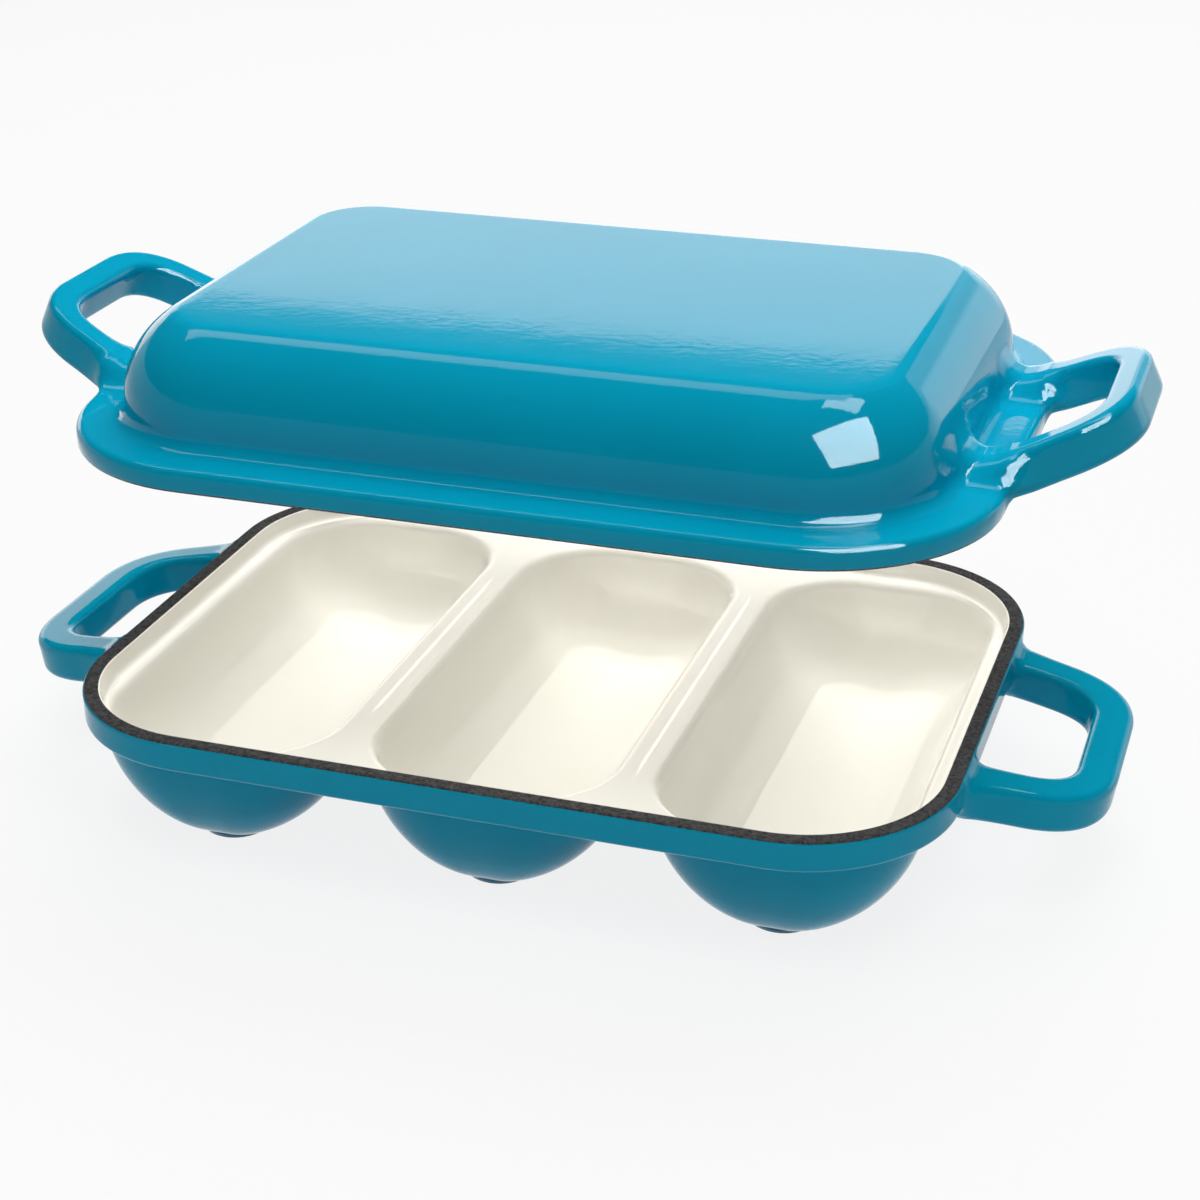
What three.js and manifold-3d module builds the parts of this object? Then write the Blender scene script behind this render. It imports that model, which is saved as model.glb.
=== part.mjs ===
// Covered baguette pan in enamelled cast iron: a base with three loaf bowls and a domed lid, each an iron
// casting with a coloured enamel coat outside and a pale one inside. Millimetres, +Z up, X along the long
// side, -Y the front. The origin lies under the middle of the base, on the plane of its feet. The lid is
// shown lifted off.
import * as THREE from 'three';
import Module from 'manifold-3d';

const wasm = await Module();
wasm.setup();

// Plan of the rim, over the outer enamel; the lid's flange has the same length and width
const RIM_LENGTH = 330;
const RIM_WIDTH = 237.5;
const RIM_CORNER = 57;
const LID_CORNER = 63;
const RIM_LAND = 5; // bare iron ring between the two coats
const RIM_PROUD = 0.8; // the ring stands this far above the edge of the outer coat
const LINING_DROP = 0.4; // the inner coat stops this far below the ring

// Walls
const WALL = 4.6; // iron with both coats
const ENAMEL = 0.5; // one coat

// Base: collar, sunken deck, bowls and feet
const BASE_HEIGHT = 57;
const COLLAR_HEIGHT = 11.8;
const COLLAR_ROUND = 2;
const DECK_DROP = 7.4;
const DECK_FILLET = 2.6;
const WALL_DRAFT = 0.7;
const LOAVES = 3;
const DECK_BRIDGE = 9.2; // flat between two cavities, lip to lip
const END_LEDGE = 1.2; // flat left beside the outer cavities
const SIDE_LEDGE = 2.2; // flat left before and behind the cavities
const CAVITY_LIP = 4; // rounding of a cavity's edge
const CAVITY_CORNER = 32;
const CAVITY_END_RUN = 24; // how far a cavity's end curves in from deck to bottom
const FOOT_PROUD = 1.4;
const FOOT_WIDTH = 28;
const FOOT_LENGTH = 174;
const FOOT_EASE = 0.8;
const FOOT_BARE = 0.4; // the outer coat stops this far above the ground sole

// Lid: flange, bulging wall and flat top
const LID_HEIGHT = 45;
const FLANGE_EDGE = 8.2;
const FLANGE_ROUND = 3;
const FLANGE_WIDTH = 12;
const STEP_ROUND = 2; // inside corner under the flange
const FLANGE_FILLET = 5.5;
const WALL_RUN = 21.5; // how far the wall leans in from its foot to the crease
const WALL_BULGE = 33; // height of the bulge's control point above the rim
const CREASE_DROP = 1.8; // the crease lies this far below the flat top
const CREASE_RUN = 5;

// Where the lid hangs in the photograph, measured from its seat on the rim
const LID_LIFT = 97;
const LID_DRIFT = 7;

// Loop handles of the base and of the lid, with heights from the foot plane or from the lid's rim; dip is
// how far the top of an arm falls from the rim's edge to the wall
const HANDLE_DROP = 10.4; // middle of a base handle's root below the rim
const BASE_HANDLE = {
  height: BASE_HEIGHT - HANDLE_DROP, rise: -9, reach: 48, rootSpan: 96, barSpan: 82,
  corner: 22, width: 13.6, depth: 15.2, edge: 2.2, flareWidth: 1.4, dip: 0,
};
const LID_HANDLE = {
  height: 9.8, rise: 25.5, reach: 42, rootSpan: 82, barSpan: 70,
  corner: 20, width: 12, depth: 15.4, edge: 2.2, flareWidth: 1.5, dip: 5.5,
};

// Facets
const RIM_STEPS = 5;
const BOWL_CORNER_STEPS = 4;
const FOOT_CORNER_STEPS = 3;
const BOWL_STEPS = 5;
const BOWL_END_ANGLE = 80; // angle at which a bowl's round section gives way to its flat bottom
const LIP_END_ANGLE = 100; // angle at which a lip's round gives way to its run onto the deck
const LIP_RUN = 0.8;
const LIP_RISE = 0.12;
const BULGE_STEPS = 4;
const ROUND_STEPS = 2;
const STEP_STEPS = 1;
const HANDLE_CORNER_STEPS = 3;

const CUT_OVER = 4; // cutters run this far past the faces that they open
const LEAST_RADIUS = 2;

const TEAL = new THREE.MeshStandardMaterial({ color: 0x007d9b, roughness: 0.12, metalness: 0 });
const IVORY = new THREE.MeshStandardMaterial({ color: 0xf7f2e4, roughness: 0.15, metalness: 0 });
const IRON = new THREE.MeshStandardMaterial({ color: 0x3f4042, roughness: 0.7, metalness: 0.4 });

// A closed ring of points at one height: a rectangle with round corners of so many steps, about (cx, 0)
function ring(length, width, radius, z, steps, cx = 0) {
  const r = Math.max(Math.min(radius, length / 2 - 0.01, width / 2 - 0.01), 0.01);
  const points = [];
  for (let quarter = 0; quarter < 4; quarter += 1) {
    const sx = quarter === 0 || quarter === 3 ? 1 : -1;
    const sy = quarter < 2 ? 1 : -1;
    for (let i = 0; i <= steps; i += 1) {
      const angle = (quarter + i / steps) * (Math.PI / 2);
      const x = cx + sx * (length / 2 - r) + r * Math.cos(angle);
      points.push(new THREE.Vector3(x, sy * (width / 2 - r) + r * Math.sin(angle), z));
    }
  }
  return points;
}

// The rim's outline drawn in by an inset, with the base's corner or the lid's
function rimRing(inset, z, corner = RIM_CORNER) {
  const radius = Math.max(corner - inset, LEAST_RADIUS);
  return ring(RIM_LENGTH - 2 * inset, RIM_WIDTH - 2 * inset, radius, z, RIM_STEPS);
}

// A closed solid through rings of equal count, with a fan at each end
function loft(rings) {
  const count = rings[0].length;
  const vertices = rings.flat();
  const triangles = [];
  for (let i = 0; i + 1 < rings.length; i += 1) {
    for (let j = 0; j < count; j += 1) {
      const a = i * count + j;
      const b = i * count + ((j + 1) % count);
      triangles.push([a, b, b + count], [a, b + count, a + count]);
    }
  }
  const middle = (points) => {
    const sum = points.reduce((total, point) => total.add(point), new THREE.Vector3());
    return sum.divideScalar(count);
  };
  const first = vertices.push(middle(rings[0])) - 1;
  const last = vertices.push(middle(rings[rings.length - 1])) - 1;
  const top = (rings.length - 1) * count;
  for (let j = 0; j < count; j += 1) {
    const next = (j + 1) % count;
    triangles.push([first, next, j], [last, top + j, top + next]);
  }
  return toSolid(vertices, triangles);
}

// Vertices and triangles as a solid, with its faces turned outward
function toSolid(vertices, triangles) {
  const signed = triangles.reduce((sum, [a, b, c]) => {
    const normal = new THREE.Vector3().crossVectors(vertices[b], vertices[c]);
    return sum + vertices[a].dot(normal);
  }, 0);
  const faces = signed < 0 ? triangles.map(([a, b, c]) => [a, c, b]) : triangles;
  return new wasm.Manifold(new wasm.Mesh({
    numProp: 3,
    vertProperties: new Float32Array(vertices.flatMap((v) => v.toArray())),
    triVerts: new Uint32Array(faces.flat()),
  }));
}

// A profile of [inset, height] points moved sideways by a distance, to its left for a positive one
function offsetProfile(profile, distance) {
  const points = profile.map(([inset, z]) => new THREE.Vector2(inset, z));
  return points.map((point, i) => {
    const before = points[Math.max(i - 1, 0)];
    const after = points[Math.min(i + 1, points.length - 1)];
    const along = new THREE.Vector2().subVectors(after, before).normalize();
    return [point.x - along.y * distance, point.y + along.x * distance];
  });
}

// Points of a quarter round from one direction to another about a centre
function roundPoints(centre, radius, from, to, steps = ROUND_STEPS) {
  return Array.from({ length: steps + 1 }, (_, i) => {
    const angle = THREE.MathUtils.degToRad(from + ((to - from) * i) / steps);
    return [centre[0] + radius * Math.cos(angle), centre[1] + radius * Math.sin(angle)];
  });
}

// Base sizes that follow from the driving ones
const deckHeight = BASE_HEIGHT - DECK_DROP;
const deckInset = RIM_LAND + ENAMEL + WALL_DRAFT + DECK_FILLET;
const deckLength = RIM_LENGTH - 2 * deckInset;
const lipLength = RIM_WIDTH - 2 * (deckInset + SIDE_LEDGE);
const lipWidth = (deckLength - 2 * END_LEDGE - (LOAVES - 1) * DECK_BRIDGE) / LOAVES;
const loafPitch = lipWidth + DECK_BRIDGE;
const cavityWidth = lipWidth - 2 * CAVITY_LIP;
const cavityLength = lipLength - 2 * CAVITY_LIP;
const cavityTop = deckHeight - CAVITY_LIP;
const cavityBottom = FOOT_PROUD + WALL;
const bowlSide = ((LOAVES - 1) * loafPitch + cavityWidth + WALL) / 2; // middle of the outermost bowl wall
const loafCentres = Array.from({ length: LOAVES }, (_, i) => (i - (LOAVES - 1) / 2) * loafPitch);

// Collar and deck plate, drawn in by a skin, up to a given top
function collar(skin, top) {
  const under = BASE_HEIGHT - COLLAR_HEIGHT + skin;
  const round = roundPoints([COLLAR_ROUND, under + COLLAR_ROUND], COLLAR_ROUND, 270, 180);
  const rings = round.map(([inset, z]) => rimRing(inset + skin, z));
  return loft([...rings, rimRing(skin, top)]);
}

// Rings of one loaf bowl, round in section with blunt round ends, from its flat bottom up to a depth below
// the deck; grow is how far it lies outside the cavity's surface
function bowl(cx, grow, depth) {
  const drop = deckHeight - cavityBottom + grow;
  const first = THREE.MathUtils.degToRad(BOWL_END_ANGLE);
  const last = Math.asin(depth / drop);
  const level = (angle, z) => {
    const spread = Math.cos(angle);
    const width = (cavityWidth + 2 * grow) * spread;
    const length = cavityLength + 2 * grow - 2 * (CAVITY_END_RUN + grow) * (1 - spread);
    return ring(width, length, (CAVITY_CORNER + grow) * spread, z, BOWL_CORNER_STEPS, cx);
  };
  const sides = Array.from({ length: BOWL_STEPS }, (_, i) => {
    const angle = first + ((last - first) * (i + 1)) / BOWL_STEPS;
    return level(angle, deckHeight - drop * Math.sin(angle));
  });
  return [level(first, deckHeight - drop), ...sides];
}

// A cavity with the round lip that leads to it from the deck
function cavity(cx, grow) {
  const opening = (out, z) => {
    const radius = CAVITY_CORNER + out;
    return ring(cavityWidth + 2 * out, cavityLength + 2 * out, radius, z, BOWL_CORNER_STEPS, cx);
  };
  const lip = roundPoints([CAVITY_LIP, cavityTop], CAVITY_LIP - grow, 180, LIP_END_ANGLE).slice(1);
  const brim = opening(CAVITY_LIP + LIP_RUN, deckHeight - grow + LIP_RISE);
  return loft([...bowl(cx, grow, CAVITY_LIP), ...lip.map(([out, z]) => opening(out, z)), brim]);
}

// A foot: a long flat pad under a bowl, down to a given bottom; as a cutter it runs on below its sole
function foot(cx, skin, bottom) {
  const outline = (inset, z) => {
    const radius = FOOT_WIDTH / 2 - inset;
    return ring(FOOT_WIDTH - 2 * inset, FOOT_LENGTH - 2 * inset, radius, z, FOOT_CORNER_STEPS, cx);
  };
  const sole = outline(FOOT_EASE + skin, Math.max(bottom, 0));
  const cut = bottom < 0 ? [outline(FOOT_EASE + skin, bottom)] : [];
  return loft([...cut, sole, outline(skin, FOOT_PROUD + WALL)]);
}

// The tray-like recess inside the rim, with drafted walls up to a given top, and the cavities below it
function baseHollow(grow, top) {
  const floor = deckHeight - grow;
  const fillet = roundPoints([deckInset - grow, floor + DECK_FILLET], DECK_FILLET, 270, 180);
  const wallInset = deckInset - DECK_FILLET - grow;
  const rise = (top - floor - DECK_FILLET) / (BASE_HEIGHT - deckHeight - DECK_FILLET);
  const profile = [...fillet, [wallInset - WALL_DRAFT * rise, top]];
  const recess = loft(profile.map(([inset, z]) => rimRing(inset, z)));
  return loafCentres.reduce((sum, cx) => sum.add(cavity(cx, grow)), recess);
}

// A loop handle: a flat bar bent round in plan and tilted about the rim's edge, with arms that flare into
// the wall; inset is how far its ends lie inside that edge
function handle(size, inset, side, skin) {
  const edge = RIM_LENGTH / 2;
  const bar = size.reach - size.width / 2;
  const start = size.rootSpan / 2;
  const end = size.barSpan / 2;
  const bend = bar - size.corner;
  const arm = (u) => start + ((end - start) * u) / bar;
  const plan = new THREE.Path();
  plan.moveTo(-inset, start);
  plan.lineTo(0, start);
  plan.lineTo(bend, arm(bend));
  plan.quadraticCurveTo(bar, end, bar, end - size.corner);
  plan.lineTo(bar, size.corner - end);
  plan.quadraticCurveTo(bar, -end, bend, -arm(bend));
  plan.lineTo(0, -start);
  plan.lineTo(-inset, -start);
  const points = plan.getPoints(HANDLE_CORNER_STEPS);
  const rise = THREE.MathUtils.degToRad(size.rise);
  return loft(points.map((point, i) => {
    const before = points[Math.max(i - 1, 0)];
    const after = points[Math.min(i + 1, points.length - 1)];
    const along = new THREE.Vector2().subVectors(after, before).normalize();
    const flare = Math.min(Math.max(1 - point.x / bend, 0), 1) ** 2;
    const w = (size.width / 2) * (1 + (size.flareWidth - 1) * flare) - skin;
    const sunk = (size.dip * Math.max(-point.x, 0)) / inset;
    const h = (size.depth - sunk) / 2 - skin;
    const c = size.edge - skin / 2;
    const section = [
      [w - c, -h], [w, c - h], [w, h - c], [w - c, h], [c - w, h], [-w, h - c], [-w, c - h], [c - w, -h],
    ];
    const tilt = point.x > 0 ? rise : 0;
    return section.map(([across, up]) => {
      const u = point.x + across * along.y;
      const x = edge + u * Math.cos(tilt) - up * Math.sin(tilt);
      const y = point.y - across * along.x;
      const z = size.height - sunk / 2 + u * Math.sin(tilt) + up * Math.cos(tilt);
      return new THREE.Vector3(side * x, y, z);
    });
  }));
}

function addHandles(body, size, inset, skin) {
  return [1, -1].reduce((sum, side) => sum.add(handle(size, inset, side, skin)), body);
}

// The base as a filled form, drawn in by a skin
function baseForm(skin, top, bottom) {
  const grow = WALL - skin;
  const filled = loafCentres.reduce((sum, cx) => {
    const shell = loft(bowl(cx, grow, 0));
    return sum.add(shell).add(foot(cx, skin, bottom));
  }, collar(skin, top));
  return addHandles(filled, BASE_HANDLE, RIM_LENGTH / 2 - bowlSide, skin);
}

// The lid's wall from flange edge to flat top, as [inset, height] points above the rim
function lidProfile() {
  const wallFoot = FLANGE_WIDTH + FLANGE_FILLET;
  const crease = wallFoot + WALL_RUN;
  const edge = roundPoints([FLANGE_ROUND, FLANGE_EDGE - FLANGE_ROUND], FLANGE_ROUND, 180, 90);
  const fillet = roundPoints([FLANGE_WIDTH, FLANGE_EDGE + FLANGE_FILLET], FLANGE_FILLET, 270, 360);
  const bulge = new THREE.QuadraticBezierCurve(
    new THREE.Vector2(wallFoot, FLANGE_EDGE + FLANGE_FILLET),
    new THREE.Vector2(wallFoot, WALL_BULGE),
    new THREE.Vector2(crease, LID_HEIGHT - CREASE_DROP),
  ).getPoints(BULGE_STEPS).slice(1).map((p) => p.toArray());
  const ease = new THREE.QuadraticBezierCurve(
    new THREE.Vector2(crease, LID_HEIGHT - CREASE_DROP),
    new THREE.Vector2(crease + CREASE_RUN / 3, LID_HEIGHT),
    new THREE.Vector2(crease + CREASE_RUN, LID_HEIGHT),
  ).getPoints(ROUND_STEPS).slice(1).map((p) => p.toArray());
  return [...edge, ...fillet, ...bulge, ...ease];
}

// The lid as a filled form, drawn in by a skin, from a given bottom
function lidForm(skin, bottom) {
  const profile = offsetProfile(lidProfile(), -skin);
  const rings = [[skin, bottom], ...profile].map(([inset, z]) => rimRing(inset, z, LID_CORNER));
  return addHandles(loft(rings), LID_HANDLE, FLANGE_WIDTH + FLANGE_FILLET + WALL / 2, skin);
}

// The lid's hollow: a shallow step inside the rim, then the wall's and top's inner faces
function lidHollow(grow, bottom) {
  const inset = RIM_LAND + ENAMEL - grow;
  const wall = offsetProfile(lidProfile(), grow - WALL).slice(ROUND_STEPS + 1);
  const under = FLANGE_EDGE - WALL + grow;
  const step = roundPoints([inset + STEP_ROUND, under - STEP_ROUND], STEP_ROUND, 180, 90, STEP_STEPS);
  return loft([[inset, bottom], ...step, ...wall].map(([s, z]) => rimRing(s, z, LID_CORNER)));
}

// A named mesh from a solid
function mesh(name, solid, material) {
  const { vertProperties, triVerts } = solid.getMesh();
  const geometry = new THREE.BufferGeometry();
  geometry.setAttribute('position', new THREE.BufferAttribute(new Float32Array(vertProperties), 3));
  geometry.setIndex(new THREE.BufferAttribute(new Uint32Array(triVerts), 1));
  geometry.computeVertexNormals();
  const piece = new THREE.Mesh(geometry, material);
  piece.name = name;
  return piece;
}

// Base
const over = BASE_HEIGHT + CUT_OVER;
const baseIron = baseForm(ENAMEL, BASE_HEIGHT, 0).subtract(baseHollow(ENAMEL, over));
const baseOuter = baseForm(0, BASE_HEIGHT - RIM_PROUD, FOOT_BARE)
  .subtract(baseForm(ENAMEL, over, -CUT_OVER))
  .subtract(baseHollow(ENAMEL, over));
const baseInner = baseHollow(ENAMEL, BASE_HEIGHT - LINING_DROP).subtract(baseHollow(0, over));

// Lid
const lidIron = lidForm(ENAMEL, 0).subtract(lidHollow(ENAMEL, -CUT_OVER));
const lidOuter = lidForm(0, RIM_PROUD)
  .subtract(lidForm(ENAMEL, -CUT_OVER))
  .subtract(lidHollow(ENAMEL, -CUT_OVER));
const lidInner = lidHollow(ENAMEL, LINING_DROP).subtract(lidHollow(0, -CUT_OVER));

const base = new THREE.Group();
base.add(
  mesh('base_iron_casting', baseIron, IRON),
  mesh('base_outer_enamel', baseOuter, TEAL),
  mesh('base_inner_enamel', baseInner, IVORY),
);

const lid = new THREE.Group();
lid.position.set(LID_DRIFT, 0, BASE_HEIGHT + LID_LIFT);
lid.add(
  mesh('lid_iron_casting', lidIron, IRON),
  mesh('lid_outer_enamel', lidOuter, TEAL),
  mesh('lid_inner_enamel', lidInner, IVORY),
);

const pan = new THREE.Group();
pan.add(base, lid);

export default pan;
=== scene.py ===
"""Looks of the covered baguette pan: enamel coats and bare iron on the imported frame, and a plain studio."""

import math

import bmesh
import bpy
import numpy as np
from bpy.props import FloatProperty, FloatVectorProperty, PointerProperty, StringProperty
from mathutils import Matrix, Vector
from mathutils.bvhtree import BVHTree


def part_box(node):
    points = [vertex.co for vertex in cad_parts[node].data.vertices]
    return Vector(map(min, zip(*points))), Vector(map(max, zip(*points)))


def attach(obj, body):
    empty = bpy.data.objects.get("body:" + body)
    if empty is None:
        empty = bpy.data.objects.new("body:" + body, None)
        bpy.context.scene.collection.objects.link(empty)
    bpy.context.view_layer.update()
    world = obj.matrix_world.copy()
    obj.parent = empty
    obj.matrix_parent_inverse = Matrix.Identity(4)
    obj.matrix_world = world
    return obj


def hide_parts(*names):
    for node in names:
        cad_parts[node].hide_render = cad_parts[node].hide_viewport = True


bl_info = {
    "name": "Covered Baguette Pan",
    "version": (1, 0, 0),
    "blender": (4, 5, 0),
    "location": "View3D > Sidebar > Pan",
    "description": "Builds the enamel coats, the bare iron and the studio of a covered baguette pan",
    "category": "Object",
}

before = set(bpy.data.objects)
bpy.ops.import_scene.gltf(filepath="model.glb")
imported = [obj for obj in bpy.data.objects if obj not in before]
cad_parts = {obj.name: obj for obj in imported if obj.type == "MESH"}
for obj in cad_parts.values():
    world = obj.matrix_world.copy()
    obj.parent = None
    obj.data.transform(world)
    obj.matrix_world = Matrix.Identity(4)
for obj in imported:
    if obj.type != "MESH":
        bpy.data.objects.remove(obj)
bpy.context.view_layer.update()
outer_low, outer_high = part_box("base_outer_enamel")
lining_low, lining_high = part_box("base_inner_enamel")
lid_low, lid_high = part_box("lid_iron_casting")
rim_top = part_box("base_iron_casting")[1].z
lid_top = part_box("lid_outer_enamel")[1].z

MILLIMETRE = 0.001
HAIR = 1e-5  # a length in metres that counts as none
FACING = 0.9  # a face whose normal rises or falls by more than this share lies level
CAVITIES = 3
LINING_INSET = 5 * MILLIMETRE  # the frame's lining ends this far inside the rim's outline

# Names of the pieces

BASE_COAT = "base_outer_coat"
BASE_LINING = "base_lining"
BASE_IRON = "base_iron"
LID_COAT = "lid_outer_coat"
LID_LINING = "lid_lining"
LID_IRON = "lid_iron"
FLOOR = "floor"

# Fineness of the meshes: a ring's steps at its corners and along X and Y, then counts along curves

RIM_STEPS = (24, 90, 90)
CAVITY_STEPS = (14, 10, 48)
FOOT_STEPS = (10, 2, 60)
SECTION_STEPS = (6, 9, 11)
CAVITY_RINGS = 26
BOWL_RINGS = 30
EDGE_STEPS = 6
FILLET_STEPS = 8
STEP_STEPS = 5
BULGE_STEPS = 22
ARM_POINTS = 16
BEND_STEPS = 18
BAR_POINTS = 12
SIDE_POINTS = 8
RECESS_POINTS = 5
FOOT_POINTS = 4
BAND_POINTS = 6

# Small forms

BOWL_END_ANGLE = 88  # degrees at which a bowl's round section gives way to its flat bottom
LIP_END_ANGLE = 96  # degrees at which a lip's round gives way to its run onto the deck
LIP_RUN = 0.7 * MILLIMETRE
LIP_RISE = 0.04 * MILLIMETRE
SOLE_EASES = (0.6 * MILLIMETRE, 0.15 * MILLIMETRE)  # insets of the two rings of a foot's sole
EDGE_IN, EDGE_BACK = 0.25, 0.1  # place of the point that rounds a coat's edge, in shares of the coat
BAND_EASE = 0.35 * MILLIMETRE  # rounding of the bare iron ring's edges
BAND_CORNER = 0.3  # place of the point that rounds such an edge, in shares of its ease
TILT_EASE = 6 * MILLIMETRE  # a handle takes up its tilt over this length on both sides of the rim's edge
ROOT_ROUNDING = 0.7  # how much rounder the edges of a handle's arms are at the root
BROW = 0.62  # place of the control point of the crease's curve, in shares of the crease's width
TOP_SHARES = (0.15, 0.4, 0.7, 1.0)  # places of the rings over the lid's top, from the crease inwards
LEAST_RADIUS = 2 * MILLIMETRE  # corner radius of the innermost of these rings

# Fillets at the handles' roots

BLEND_ROUNDS = 6
BLEND_PULL = 0.6  # share of the way to the middle of its neighbours that a point slides in a round
FEWEST_NEIGHBOURS = 3  # a point with fewer of them doesn't slide
LEAST_BLEND = 0.05  # share of the fillet's reach that is left at the lower limit
SEAM_GAP = 0.05 * MILLIMETRE  # room that a fillet leaves at the seam of base and lid
EDGE_KEPT = 0.4 * MILLIMETRE  # points this near to the limits, where a coat ends, stay where they are
EDGE_FADE = 9 * MILLIMETRE  # the fillet narrows over this height above the lower limit


def length(name, description, default):
    """A property for a length in metres."""
    return FloatProperty(
        name=name, description=description, default=default, subtype="DISTANCE", unit="LENGTH"
    )


def angle(name, description, degrees):
    """A property for an angle, given in degrees."""
    return FloatProperty(name=name, description=description, default=math.radians(degrees), subtype="ANGLE")


def hex_colour(name, description, default):
    """A property for an sRGB colour as six hex digits."""
    return StringProperty(name=name, description=description, default=default, maxlen=6)


class PanBaseSizes(bpy.types.PropertyGroup):
    """Sizes of the base."""

    rim_land: length("Rim land", "Width of the bare iron ring between the two coats", 0.0058)
    rim_length: length(
        "Rim length",
        "Length of the rim over the outer enamel",
        lining_high.x - lining_low.x + 2 * LINING_INSET,
    )
    rim_width: length("Rim width", "Width of the rim over the outer enamel", outer_high.y - outer_low.y)
    rim_corner: length("Rim corner", "Corner radius of the rim", 0.057)
    height: length("Height", "Height from the feet to the rim", rim_top)
    coat: length("Coat", "Thickness of one enamel coat", 0.0005)
    coat_drop: length("Coat drop", "How far the outer coat stops below the rim", 0.0008)
    lining_drop: length("Lining drop", "How far the inner coat stops below the rim", 0.0004)
    wall: length("Wall", "Thickness of the iron with both coats", 0.0046)
    collar_height: length("Collar height", "Height of the upright band under the rim", 0.0118)
    collar_round: length("Collar round", "Radius of the collar's lower edge", 0.002)
    deck_drop: length("Deck drop", "Depth of the deck below the rim", 0.0074)
    deck_fillet: length("Deck fillet", "Radius between the deck and the rim's wall", 0.0026)
    wall_draft: length("Wall draft", "How far the rim's inner wall leans in", 0.0007)
    bridge: length("Bridge", "Flat between two cavities", 0.0092)
    end_ledge: length("End ledge", "Flat beside the outer cavities", 0.0005)
    side_ledge: length("Side ledge", "Flat before and behind the cavities", 0.0014)
    lip: length("Lip", "Rounding of a cavity's edge", 0.004)
    cavity_corner: length("Cavity corner", "Corner radius of a cavity in plan", 0.032)
    cavity_end_run: length("Cavity end run", "How far a cavity's end curves in at the bottom", 0.024)
    foot_proud: length("Foot height", "How far a foot stands below its bowl", 0.0014)
    foot_width: length("Foot width", "Width of a foot", 0.028)
    foot_length: length("Foot length", "Length of a foot", 0.174)
    foot_ease: length("Foot ease", "How far a foot narrows to its sole", 0.0008)
    foot_bare: length("Foot bare", "How far the coat stops above the sole", 0.0004)


class PanLidSizes(bpy.types.PropertyGroup):
    """Sizes and place of the lid."""

    corner: length("Corner", "Corner radius of the flange", 0.063)
    height: length("Height", "Height from the lid's rim to its flat top", lid_top - lid_low.z)
    drift: length("Drift", "Place of the lid along the long side", (lid_low.x + lid_high.x) / 2)
    seat: length("Seat", "Height of the lid's rim above the feet", lid_low.z)
    flange_edge: length("Flange edge", "Height of the flange's edge", 0.0082)
    flange_round: length("Flange round", "Radius of the flange's upper edge", 0.003)
    flange_width: length("Flange width", "Flat of the flange before the wall's fillet", 0.012)
    flange_fillet: length("Flange fillet", "Radius between the flange and the wall", 0.0055)
    wall_run: length("Wall run", "How far the wall leans in up to the crease", 0.0215)
    wall_bulge: length("Wall bulge", "Height of the bulge's control point", 0.033)
    end_reach: length("End reach", "How much further out the crease stands at the ends", 0.004)
    crease_drop: length("Crease drop", "Depth of the crease below the flat top", 0.0009)
    crease_run: length("Crease run", "Width of the crease's rounding", 0.0036)
    step_round: length("Step round", "Radius of the inside corner under the flange", 0.002)


class PanBaseHandleSizes(bpy.types.PropertyGroup):
    """Sizes of the base's loop handles."""

    height: length("Height", "Middle of the handle's root above the feet", 0.0466)
    rise: angle("Rise", "Tilt of the loop above the level", -9)
    reach: length("Reach", "How far the loop stands out from the rim, along its tilt", 0.048)
    root_span: length("Root span", "Distance between the arms' middles at the rim", 0.096)
    bar_span: length("Bar span", "Distance between the arms' middles at the bar", 0.082)
    corner: length("Corner", "How far the rounding runs along the bar", 0.022)
    width: length("Width", "Width of the bar seen from above", 0.0148)
    depth: length("Depth", "Thickness of the bar", 0.0152)
    edge: length("Edge", "Radius of the bar's edges", 0.0032)
    flare: FloatProperty(name="Flare", description="Widening of the arms at the root", default=1.4)
    dip: length("Dip", "How far the top of an arm falls from the rim's edge to the wall", 0)
    blend: length("Blend", "Reach of the blend into the wall", 0.006)


class PanLidHandleSizes(bpy.types.PropertyGroup):
    """Sizes of the lid's raked loop handles."""

    height: length("Height", "Middle of the handle's root above the lid's rim", 0.0098)
    rise: angle("Rise", "Tilt of the loop above the level", 25.5)
    reach: length("Reach", "How far the loop stands out from the rim, along its tilt", 0.042)
    root_span: length("Root span", "Distance between the arms' middles at the rim", 0.082)
    bar_span: length("Bar span", "Distance between the arms' middles at the bar", 0.070)
    corner: length("Corner", "How far the rounding runs along the bar", 0.020)
    width: length("Width", "Width of the bar seen from above", 0.012)
    depth: length("Depth", "Thickness of the bar", 0.0154)
    edge: length("Edge", "Radius of the bar's edges", 0.0032)
    flare: FloatProperty(name="Flare", description="Widening of the arms at the root", default=1.5)
    dip: length("Dip", "How far the top of an arm falls from the rim's edge to the wall", 0.0055)
    blend: length("Blend", "Reach of the blend into the flange and the wall", 0.015)


class PanColours(bpy.types.PropertyGroup):
    """Colours as sRGB hex values."""

    teal: hex_colour("Teal", "Outer enamel", "04A3C5")
    teal_deep: hex_colour("Deep teal", "Outer enamel where it pools", "039BBC")
    teal_sheen: hex_colour("Teal sheen", "Tint of the outer enamel's gloss", "E4F6FF")
    ivory: hex_colour("Ivory", "Inner enamel", "FDFBF4")
    ivory_warm: hex_colour("Warm ivory", "Inner enamel where it pools", "FBF8EE")
    ivory_sheen: hex_colour("Ivory sheen", "Tint of the inner enamel's gloss", "FFFFFF")
    iron: hex_colour("Iron", "Bare iron", "58585A")
    iron_dark: hex_colour("Dark iron", "Pits of the bare iron", "2A2A2C")
    floor: hex_colour("Floor", "Studio floor", "ECECEC")
    lamp: hex_colour("Lamp", "Light of the studio's lamps", "FFFFFF")
    sweep: hex_colour("Sweep", "Light of the warm panel behind the pan", "FFE6D8")


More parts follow.
